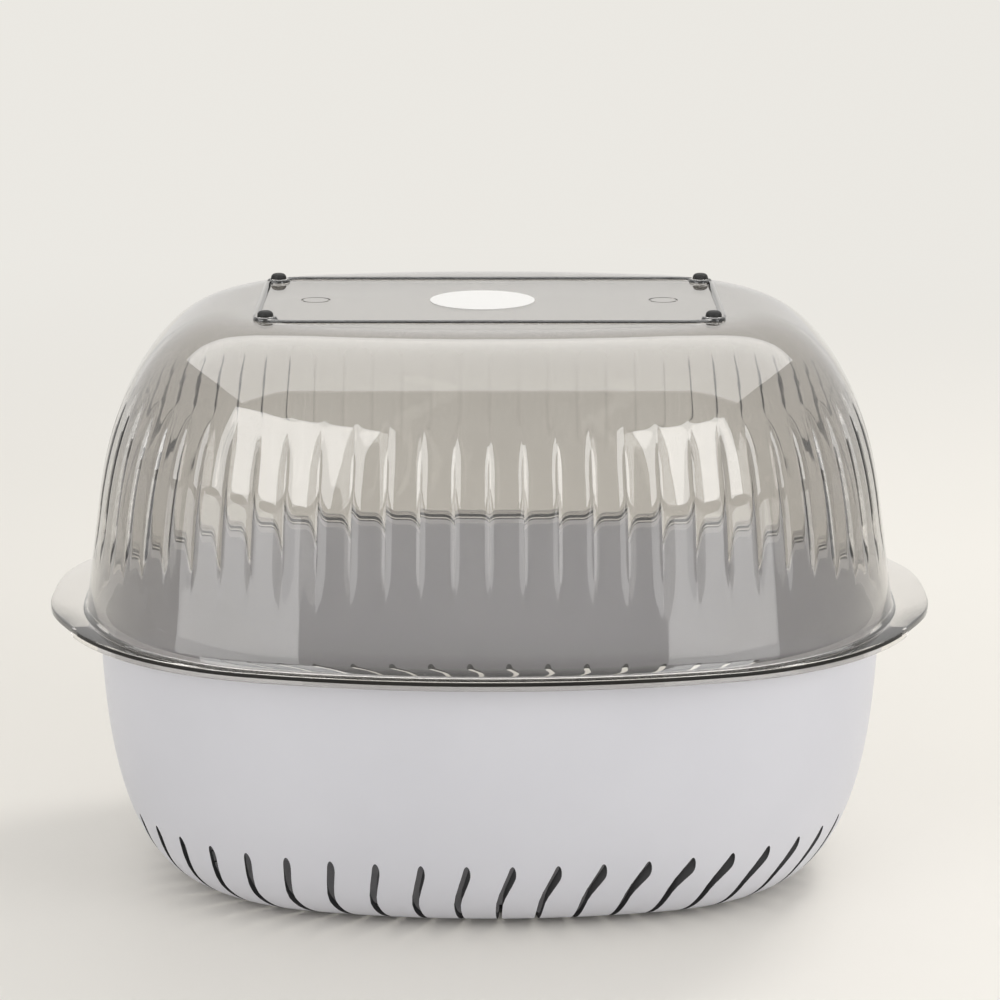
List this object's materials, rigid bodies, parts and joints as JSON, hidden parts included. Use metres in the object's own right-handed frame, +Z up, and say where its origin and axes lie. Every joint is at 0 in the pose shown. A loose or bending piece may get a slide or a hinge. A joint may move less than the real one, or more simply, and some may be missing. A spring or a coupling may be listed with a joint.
{
  "type": "lidded draining bowl",
  "caption": "Oval draining bowl with a swirl of slots round its lower wall, under a fluted clear basin turned over as its cover",
  "frame": {"origin": "centre of the bounding box, on the surface the bowl stands on", "axes": "+X along the length, from ear to ear; +Z up; -Y towards the viewer"},
  "size_m": [0.377, 0.2776, 0.2476],
  "materials": {
    "white_plastic": "satin moulded white plastic with a faint cool cast",
    "smoky_clear_plastic": "clear plastic with a light smoky grey tint, polished",
    "foot_rubber": "soft black elastomer",
    "label_paper": "plain coated paper"
  },
  "bodies": {
    "bowl": {"drain_bowl": "white_plastic"},
    "cover": {"clear_cover": "smoky_clear_plastic", "foot_front_left": "foot_rubber", "foot_front_right": "foot_rubber", "foot_back_left": "foot_rubber", "foot_back_right": "foot_rubber", "base_label": "label_paper"}
  },
  "joints": [
    {"name": "cover_lift", "type": "slide", "parent": "bowl", "child": "cover", "axis": [0, 0, 1], "range_m": [0, 0.15]}
  ]
}
